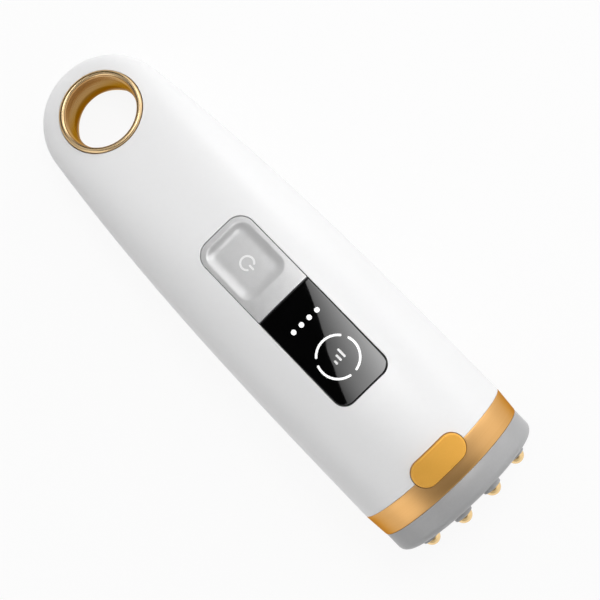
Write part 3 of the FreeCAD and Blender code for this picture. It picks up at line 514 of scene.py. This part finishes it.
# Painted shade: the plated colour is multiplied by the depth ramp, darkening the bore.
painted_bore_shade = add_node(tree, "ShaderNodeMix", {"Factor": 1.0, "A": plated, "B": painted_depth_shade.outputs["Color"]},
                   data_type="RGBA", blend_type="MULTIPLY")
feed(shader, {"Base Color": painted_bore_shade.outputs["Result"]})
front_ring = ring_turned(turned(front_profile))
set_up("ring_front", front_ring, ring_gold, "handset", ["ring_bush_front"])
rear_ring = ring_turned(turned(rear_profile))
cut_plane(rear_ring, (0, 0, 0), (0, 0, -1), clear=True)
bmesh.ops.bridge_loops(rear_ring, edges=[edge for edge in rear_ring.edges if edge.is_boundary])
bmesh.ops.recalc_face_normals(rear_ring, faces=rear_ring.faces[:])
set_up("ring_rear", rear_ring, ring_gold, "handset", ["ring_bush_rear"])

# Trim band: a drawn metal band, gold plated and brushed round, held between shell and head. Its
# edges are rolled a little, and it is notched at the top for the mode key.
def oval_solid(rows, closed, around=288):
    """Solid with the head's oval section. A row is a station, an inset and the level of its flat."""
    if closed:
        rows = rows + rows[:1]
    bm = bmesh.new()
    bmesh.ops.create_grid(bm, x_segments=around, y_segments=len(rows) - 1, size=1.0)
    for vert in bm.verts:
        x, inset, flat = rows[round((vert.co.y + 1) / 2 * (len(rows) - 1))]
        turn = math.pi * vert.co.x
        rise = head_height - head_middle if math.sin(turn) > 0 else head_middle + back_cut
        vert.co = (x, (head_half_width - inset) * math.cos(turn),
                   max(head_middle + (rise - inset) * math.sin(turn), flat))
    bmesh.ops.remove_doubles(bm, verts=bm.verts[:], dist=0.002)
    close_up(bm)
    return bm


x_band_end = 69.8
band_rows = [(x_joint, 2.0, 2.3), (x_joint, 0.3, 0.6), (62.84, 0.14, 0.44), (62.95, 0.05, 0.35),
             (63.15, 0.02, 0.3), (64.8, 0.15, 0.3), (67.8, 0.39, 0.3), (69.45, 0.53, 0.3),
             (69.65, 0.58, 0.35), (69.76, 0.68, 0.44), (x_band_end, 0.84, 0.6), (x_band_end, 2.0, 2.3)]
band_gold = finish("band_gold", (0.70, 0.395, 0.145), (0.74, 0.435, 0.175),
                   scale=45, gloss=0.38, spread=0.08, bump=0.2,
                   sockets={"Metallic": 1.0, "Specular Tint": (0.62, 0.34, 0.12, 1)},
                   stretch=(60, 1, 1))
band = carve(oval_solid(band_rows, True), mode_tool(), "DIFFERENCE")
set_up("gold_band", band, band_gold, "handset", ["trim_band"])

# Treatment head: a satin grey ABS cap with a rounded front edge, moulded with twelve short collars
# that hold the studs. The collars stand on a grid of four by four without its corners.
x_round = 74.4
cap_inset = 0.65
cap_round = 2.2
cap_flat = 0.3
collar_face = 78.3
collar_columns = (-15.225, -5.075, 5.075, 15.225)
collar_rows = (32.5, 24.5, 16.5, 8.5)
corner_reach = 10.0
stud_places = [(y, z) for z in collar_rows for y in collar_columns
               if abs(y) < corner_reach or abs(z - head_middle) < corner_reach]
cap_edge = [(x_round, cap_inset + cap_round), (x_band_end, cap_inset + cap_round), (x_band_end, 0.85),
            (69.86, 0.71), (70.0, cap_inset)]
cap_edge += [(x_round + forward, cap_inset + cap_round - outward)
             for outward, forward in arc((0, 0), cap_round, 0, math.pi / 2, 10)]
cap_rows = [(x, inset, cap_flat + inset) for x, inset in cap_edge]
collar_profile = [(0, 75.4), (2.75, 75.4), (2.75, 78.0), (2.69, 78.19), (2.5, collar_face),
                  (0, collar_face)]


def facing_front(bm, x, y, z):
    """Turns a shape made about the Z axis to point out of the head, and sets it in its place."""
    stand = Matrix.Translation((x, y, z)) @ Matrix.Rotation(math.pi / 2, 4, "Y")
    bmesh.ops.transform(bm, matrix=stand, verts=bm.verts[:])
    return bm


collars = [facing_front(turned(collar_profile, 48), 0, y, z) for y, z in stud_places]
head_grey = finish("head_grey", (0.385, 0.385, 0.389), (0.405, 0.405, 0.409),
                   scale=1500, gloss=0.33, spread=0.06, bump=0.1, sockets={"IOR": 1.5})
cap = carve(oval_solid(cap_rows, False), join(*collars), "UNION")
set_up("treatment_head", cap, head_grey, "handset", ["head_cap"])

# Studs: twelve turned brass contacts with a low polished dome, gold plated. Each has a short pin
# that is pressed through its collar, so that the dome's rim sits on the collar's face.
dome_radius = 2.3
dome_height = 2.0
dome_undercut = 0.06
pin_radius = 1.2
pin_length = 2.0
dome_sphere = (dome_radius ** 2 + dome_height ** 2) / (2 * dome_height)
dome_turn = math.asin((dome_sphere - dome_height) / dome_sphere)
stud_gold = finish("stud_gold", (0.86, 0.60, 0.28), (0.90, 0.66, 0.35),
                   scale=2500, gloss=0.16, spread=0.06, bump=0.1, sockets={"Metallic": 1.0})
stud_profile = ([(0, -pin_length), (pin_radius, -pin_length), (pin_radius, 0),
                 (dome_radius - dome_undercut, 0)]
                + arc((0, dome_height - dome_sphere), dome_sphere, dome_turn, math.pi / 2, 14))
for number, (y, z) in enumerate(stud_places, 1):
    stud = facing_front(turned(stud_profile, 48), collar_face, y, z)
    set_up("stud_%02d" % number, stud, stud_gold, "handset",
           ["electrode_%02d" % number])

# Mode key: a moulded key in satin gold paint, shaped like a stadium. It stands proud across the
# shell's end and the band, with a softened edge, and travels straight down into the head.
mode_plate = (58.7, 66.1, 8.25, 3.699, 3.699)
mode_edge = 0.45
mode_foot = 5.0
mode_crown = 21.297
mode_crown_half = 25.0


def mode_place(x, y, depth):
    """Point of the mode key under its crowned top."""
    return Vector((x, y, head_middle + mode_crown * math.sqrt(1 - (y / mode_crown_half) ** 2) - depth))


def softened(radius, sink, foot, rings):
    """Rings of a plate from its foot over a rounded edge to its middle line."""
    rounding = [(radius * (1 - math.cos(turn)), 1, sink + radius * (1 - math.sin(turn)))
                for turn in (math.pi / 2 * step / 6 for step in range(7))]
    top = [(radius, 1 - step / rings, sink) for step in range(1, rings + 1)]
    return [(0, 1, foot)] + rounding + top


key_gold = finish("key_gold", (0.82, 0.41, 0.053), (0.85, 0.43, 0.060),
                  scale=2600, gloss=0.45, spread=0.06, bump=0.1,
                  sockets={"Metallic": 0.3, "IOR": 1.5})
mode_key = plate_solid(mode_plate, softened(mode_edge, 0, mode_foot, 16), mode_place, 240)
set_up("mode_button", mode_key, key_gold, "mode_key", ["mode_key"])

# Power key: a moulded key in satin silver paint with a thumb scoop and a printed power sign, lying
# just under the front face. It fills the tail end of the panel opening with an even gap round it.
panel_sink = 0.08
panel_foot = 3.4
power_plate = (-28.25, -3.1, 8.6, 4.45, 0.4)
power_edge = 0.25
scoop_middle = -17.5
scoop_half_length = 9.1
scoop_half_width = 7.3
scoop_corner = 3.4
scoop_rim = 0.3
scoop_wall = 3.9
scoop_depth = 0.85


def scoop_drop(along, y):
    """Depth of the thumb scoop at a point of the key, soft at its rim and at its floor."""
    past_end = abs(along - scoop_middle) - (scoop_half_length - scoop_corner)
    past_side = abs(y) - (scoop_half_width - scoop_corner)
    past_corner = math.hypot(max(past_end, 0), max(past_side, 0))
    outside = past_corner + min(max(past_end, past_side), 0) - scoop_corner
    share = min(max((scoop_rim - outside) / scoop_wall, 0), 1)
    return scoop_depth * (1 - (1 - share) ** 4 * (1 + 4 * share))


def power_place(along, y, depth):
    """Point of the power key, where only the face and its edge follow the scoop."""
    return on_panel(along, y, depth + (scoop_drop(along, y) if depth < 1 else 0))


key_silver = finish("key_silver", (0.55, 0.55, 0.552), (0.59, 0.59, 0.592),
                    scale=4200, gloss=0.43, spread=0.06, bump=0.05,
                    sockets={"Metallic": 0.52, "IOR": 1.5})
power_key = plate_solid(power_plate, softened(power_edge, panel_sink, panel_foot, 64), power_place)
set_up("power_button", power_key, key_silver, "power_key", ["power_key"])
mark_proud = 0.02
mark_root = 0.05


def inlay(half_length, half_breadth, place, lengthways=24, breadthways=4):
    """Thin printed mark, bent from a strip with round ends: place takes a point of the strip."""
    bm = bmesh.new()
    bmesh.ops.create_grid(bm, x_segments=lengthways, y_segments=breadthways, size=1.0)
    bmesh.ops.solidify(bm, geom=bm.faces[:], thickness=1.0)
    for vert in bm.verts:
        along = vert.co.x * half_length
        past = max(abs(along) - (half_length - half_breadth), 0) / half_breadth
        breadth = half_breadth * math.sqrt(max(0.0, 1 - past * past))
        vert.co = place(along, vert.co.y * breadth, -mark_proud if vert.co.z > -0.5 else mark_root)
    bmesh.ops.remove_doubles(bm, verts=bm.verts[:], dist=0.0005)
    bmesh.ops.recalc_face_normals(bm, faces=bm.faces[:])
    return bm


def arc_mark(centre, radius, start, end, stroke, surface):
    """Printed arc about a point of the panel, between two angles in degrees."""
    middle = math.radians((start + end) / 2)
    half = math.radians((end - start) / 2) * radius

    def place(along, aside, depth):
        turn = middle + along / radius
        return surface(centre + (radius + aside) * math.cos(turn), (radius + aside) * math.sin(turn),
                       panel_sink + depth)
    return inlay(half, stroke / 2, place, 64)


def bar_mark(start, end, y, stroke, surface):
    """Printed bar along the panel."""
    def place(along, aside, depth):
        return surface((start + end) / 2 + along, y + aside, panel_sink + depth)
    return inlay((end - start) / 2, stroke / 2, place)


sign_middle = -16.8
sign_radius = 1.85
sign_gap = 30
sign_bar = (-16.1, -14.2)
sign_stroke = 0.56
symbol_white = finish("symbol_white", (0.86, 0.86, 0.86), (0.9, 0.9, 0.9),
                      scale=3000, gloss=0.4, spread=0.1, bump=0.05)
symbol = join(arc_mark(sign_middle, sign_radius, sign_gap, 360 - sign_gap, sign_stroke, power_place),
              bar_mark(*sign_bar, 0, sign_stroke, power_place))
set_up("power_symbol", symbol, symbol_white, "power_key", [])

# Display lens: a black polished acrylic window with four level lights, a ring of light round the
# touch field and three rising bars in it. The marks are printed on the face and lit from behind.
lens_plate = (-2.9, 28.2, 8.55, 0.4, 3.5)
lens_edge = 0.12
dots_along = 4.9
dots_aside = 0.35
dots_pitch = 2.75
dot_half_length = 0.72
dot_breadth = 1.4
touch_middle = 17.3
touch_radius = 5.6
touch_arcs = [(9, 111), (127, 231), (248, 353)]
bars_foot = 18.6
bars = [(-1.35, 1.3), (0, 2.1), (1.35, 2.9)]
light_stroke = 0.62
lens_black = finish("lens_black", (0.0012, 0.0012, 0.0013), (0.0018, 0.0018, 0.002),
                    scale=1200, gloss=0.035, spread=0.02, bump=0.01,
                    sockets={"IOR": 1.52, "Coat Weight": 0.0})
lens = plate_solid(lens_plate, softened(lens_edge, panel_sink, panel_foot, 24), on_panel)
set_up("lens_window", lens, lens_black, "handset", ["display_lens"])
light_white = finish("light_white", (0.85, 0.85, 0.85), (0.9, 0.9, 0.9),
                     scale=3000, gloss=0.35, spread=0.1, bump=0.05,
                     sockets={"Emission Color": white, "Emission Strength": 0.35})
level_dots = [bar_mark(dots_along - dot_half_length, dots_along + dot_half_length,
                       dots_aside + step * dots_pitch, dot_breadth, on_panel)
              for step in (-1.5, -0.5, 0.5, 1.5)]
set_up("level_lights", join(*level_dots), light_white, "handset", [])
touch_ring = [arc_mark(touch_middle, touch_radius, start, end, light_stroke, on_panel)
              for start, end in touch_arcs]
set_up("touch_ring", join(*touch_ring), light_white, "handset", [])
level_bars = [bar_mark(bars_foot - length, bars_foot, y, light_stroke, on_panel)
              for y, length in bars]
set_up("level_bars", join(*level_bars), symbol_white, "handset", [])

# Inner parts: boards, switches, cell, transformer, wiring, screws and their plugs keep the frame's
# own shapes. They are bought-in or moulded parts, screwed or clipped into the shells, and each
# takes the finish of what it is made of.
inner_finishes = {
    "inner_plastic": finish("inner_moulding", (0.62, 0.62, 0.60), (0.68, 0.68, 0.66),
                            scale=900, gloss=0.5, spread=0.1, bump=0.3),
    "black_plastic": finish("black_moulding", (0.02, 0.02, 0.021), (0.035, 0.035, 0.036),
                            scale=1500, gloss=0.45, spread=0.1, bump=0.3),
    "board": finish("board_green", (0.012, 0.09, 0.035), (0.02, 0.14, 0.055),
                    scale=600, gloss=0.35, spread=0.1, bump=0.2),
    "seal_rubber": finish("rubber_cord", (0.03, 0.03, 0.03), (0.05, 0.05, 0.05),
                          scale=1800, gloss=0.7, spread=0.1, bump=0.5),
    "cell_wrap": finish("cell_film", (0.32, 0.34, 0.37), (0.40, 0.42, 0.45),
                        scale=500, gloss=0.3, spread=0.1, bump=0.2, sockets={"Metallic": 0.6}),
    "ferrite": finish("ferrite_body", (0.03, 0.03, 0.032), (0.05, 0.05, 0.052),
                      scale=2200, gloss=0.6, spread=0.1, bump=0.5),
    "copper": finish("copper_wire", (0.55, 0.22, 0.09), (0.70, 0.32, 0.15),
                     scale=90, gloss=0.3, spread=0.1, bump=0.6, sockets={"Metallic": 1.0},
                     stretch=(1, 1, 40)),
    "led": finish("led_clear", (0.80, 0.80, 0.74), (0.86, 0.86, 0.8),
                  scale=2500, gloss=0.25, spread=0.1, bump=0.1),
    "steel": finish("screw_steel", (0.50, 0.50, 0.52), (0.60, 0.60, 0.62),
                    scale=1800, gloss=0.32, spread=0.12, bump=0.3, sockets={"Metallic": 1.0}),
    "lead_cover": finish("lead_red", (0.36, 0.02, 0.015), (0.44, 0.03, 0.02),
                         scale=1600, gloss=0.45, spread=0.1, bump=0.2),
    "white_plastic": white_gloss,
}
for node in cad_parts.values():
    slot = node.material_slots[0]
    if slot.name in inner_finishes:
        slot.material = inner_finishes[slot.name]

# Floor: a wide matt white table top. The camera and the reflections see it close to pure white, and
# the share of it that stays matt keeps the object's shadow.
floor_half = 3.0
floor_drop = 0.0002
floor_glow = 0.9
bm = bmesh.new()
bmesh.ops.create_grid(bm, x_segments=1, y_segments=1, size=floor_half)
floor_mesh = bpy.data.meshes.new("floor")
bm.to_mesh(floor_mesh)
bm.free()
floor = bpy.data.objects.new("floor", floor_mesh)
scene.collection.objects.link(floor)
floor.location.z = -floor_drop
floor_white = bpy.data.materials.new("floor_white")
floor_white.use_nodes = True
tree = floor_white.node_tree
seen = tree.nodes.new("ShaderNodeLightPath").outputs
camera_or_gloss = add_node(tree, "ShaderNodeMath",
                           {0: seen["Is Camera Ray"], 1: seen["Is Glossy Ray"]}, operation="MAXIMUM")
or_through = add_node(tree, "ShaderNodeMath",
                      {0: camera_or_gloss.outputs[0], 1: seen["Is Transmission Ray"]},
                      operation="MAXIMUM")
mostly = add_node(tree, "ShaderNodeMath", {0: or_through.outputs[0], 1: floor_glow},
                  operation="MULTIPLY")
matt = add_node(tree, "ShaderNodeBsdfDiffuse", {"Color": (0.86, 0.86, 0.86, 1)})
glow = add_node(tree, "ShaderNodeEmission", {"Color": white})
mix = add_node(tree, "ShaderNodeMixShader",
               {"Fac": mostly.outputs[0], 1: matt.outputs[0], 2: glow.outputs[0]})
feed(tree.nodes["Material Output"], {"Surface": mix.outputs[0]})
floor_mesh.materials.append(floor_white)

# Studio light: a white tent that is dimmed overhead and a little brighter on the far side, three
# soft boxes, a slanted panel over the tail, and black flags that darken some of the reflections.
tent_top = (0.3, 0, 0.954)
tent_lean = (-0.04, 0.365, 0)
tent_level = 0.805
world = bpy.data.worlds.new("studio")
scene.world = world
world.use_nodes = True
tree = world.node_tree
way = tree.nodes.new("ShaderNodeTexCoord").outputs["Generated"]
overhead = add_node(tree, "ShaderNodeVectorMath", {0: way, 1: tent_top}, operation="DOT_PRODUCT")
dim_top = add_node(tree, "ShaderNodeMapRange",
                   {"Value": overhead.outputs["Value"], "From Min": 0.97, "From Max": 0.68,
                    "To Min": 0.25, "To Max": 1.0}, interpolation_type="SMOOTHSTEP")
lean = add_node(tree, "ShaderNodeVectorMath", {0: way, 1: tent_lean}, operation="DOT_PRODUCT")
far_side = add_node(tree, "ShaderNodeMath", {0: lean.outputs["Value"], 1: tent_level},
                    operation="ADD")
both = add_node(tree, "ShaderNodeMath", {0: dim_top.outputs["Result"], 1: far_side.outputs[0]},
                operation="MULTIPLY")
tent = tree.nodes["Background"]
feed(tent, {"Color": white, "Strength": both.outputs[0]})
backdrop = add_node(tree, "ShaderNodeBackground", {"Color": white})
seen = tree.nodes.new("ShaderNodeLightPath").outputs
mix = add_node(tree, "ShaderNodeMixShader",
               {"Fac": seen["Is Camera Ray"], 1: tent.outputs[0], 2: backdrop.outputs[0]})
feed(tree.nodes["World Output"], {"Surface": mix.outputs[0]})


def softbox(name, place, aim, wide, tall, power, diffuse=True):
    """Lamp with a wide soft face, turned towards a point. It can light the gloss alone."""
    lamp = bpy.data.lights.new(name, "AREA")
    lamp.shape = "RECTANGLE"
    lamp.size = wide
    lamp.size_y = tall
    lamp.energy = power
    stand = bpy.data.objects.new(name, lamp)
    scene.collection.objects.link(stand)
    facing = (Vector(aim) - Vector(place)).to_track_quat("-Z", "Y").to_matrix().to_4x4()
    stand.matrix_world = Matrix.Translation(place) @ facing
    stand.visible_diffuse = diffuse


def card(name, corners, material, diffuse=True, glossy=True, shadow=True):
    """Flat card by the object that only its reflections and its light show."""
    bm = bmesh.new()
    bm.faces.new([bm.verts.new(corner) for corner in corners])
    mesh = bpy.data.meshes.new(name)
    bm.to_mesh(mesh)
    bm.free()
    mesh.materials.append(material)
    sheet = bpy.data.objects.new(name, mesh)
    scene.collection.objects.link(sheet)
    sheet.visible_camera = False
    sheet.visible_diffuse = diffuse
    sheet.visible_glossy = glossy
    sheet.visible_shadow = shadow


panel_light = bpy.data.materials.new("panel_light")
panel_light.use_nodes = True
tree = panel_light.node_tree
tree.nodes.remove(tree.nodes["Principled BSDF"])
place = tree.nodes.new("ShaderNodeTexCoord")
slanted = add_node(tree, "ShaderNodeMapping", {"Vector": place.outputs["Object"],
                                               "Rotation": (0, 0, math.radians(-25))})
axes = add_node(tree, "ShaderNodeSeparateXYZ", {0: slanted.outputs["Vector"]})
strength = add_node(tree, "ShaderNodeMapRange",
                    {"Value": axes.outputs["X"], "From Min": -0.16, "From Max": 0.04,
                     "To Min": 1.6, "To Max": 9.5})
glow = add_node(tree, "ShaderNodeEmission", {"Strength": strength.outputs["Result"]})
feed(tree.nodes["Material Output"], {"Surface": glow.outputs[0]})
panel_level = 0.65
flag_level = 0.66
panel_corners = [(-0.300, 0.367), (-0.180, 0.034), (-0.130, -0.07), (-0.060, -0.302),
                 (-0.04, -0.302), (-0.04, 0.367)]
flag_corners = [(-0.34, 0.42), (-0.34, -0.40), (-0.05, -0.40), (-0.05, 0.42)]
black_felt = finish("black_felt", (0.004, 0.004, 0.004), (0.006, 0.006, 0.006),
                    scale=200, gloss=0.9, spread=0.05, bump=0.1, sockets={"Specular IOR Level": 0.0})
card("top_panel", [(x, y, panel_level) for x, y in panel_corners], panel_light)
card("black_flag", [(x, y, flag_level) for x, y in flag_corners], black_felt,
     diffuse=False, shadow=False)
softbox("far_side_box", (-0.10, 0.75, 0.26), (0, 0, 0.02), 0.6, 0.3, 0.4)
softbox("near_side_box", (0.12, -0.62, 0.27), (0.03, 0, 0.02), 0.6, 0.45, 0.8, diffuse=False)
softbox("rim_box", (-0.36, 0.56, 0.44), (0, 0, 0.03), 0.25, 0.2, 0.5, diffuse=False)
card("tail_flag", [(-0.10, -0.035, 0.012), (-0.10, 0.035, 0.012), (-0.10, 0.035, 0.044),
                   (-0.10, -0.035, 0.044)], black_felt, diffuse=False, shadow=False)
card("near_flag", [(-0.30, -0.16, 0.06), (-0.09, -0.16, 0.06), (-0.09, -0.16, 0.20),
                   (-0.30, -0.16, 0.20)], black_felt, glossy=False)

# Camera: straight above the handset and turned about its own axis, so that the handset lies across
# the frame from corner to corner. The view transform keeps the colours as they are written.
view = bpy.data.cameras.new("camera")
view.lens = 76.5
view.sensor_width = 36.0
view.clip_start = 0.01
camera = bpy.data.objects.new("camera", view)
scene.collection.objects.link(camera)
camera.location = (0.0096, 0.00313, 0.3585)
camera.rotation_euler = (0, 0, math.radians(45.7927))
scene.camera = camera
scene.view_settings.view_transform = "Standard"
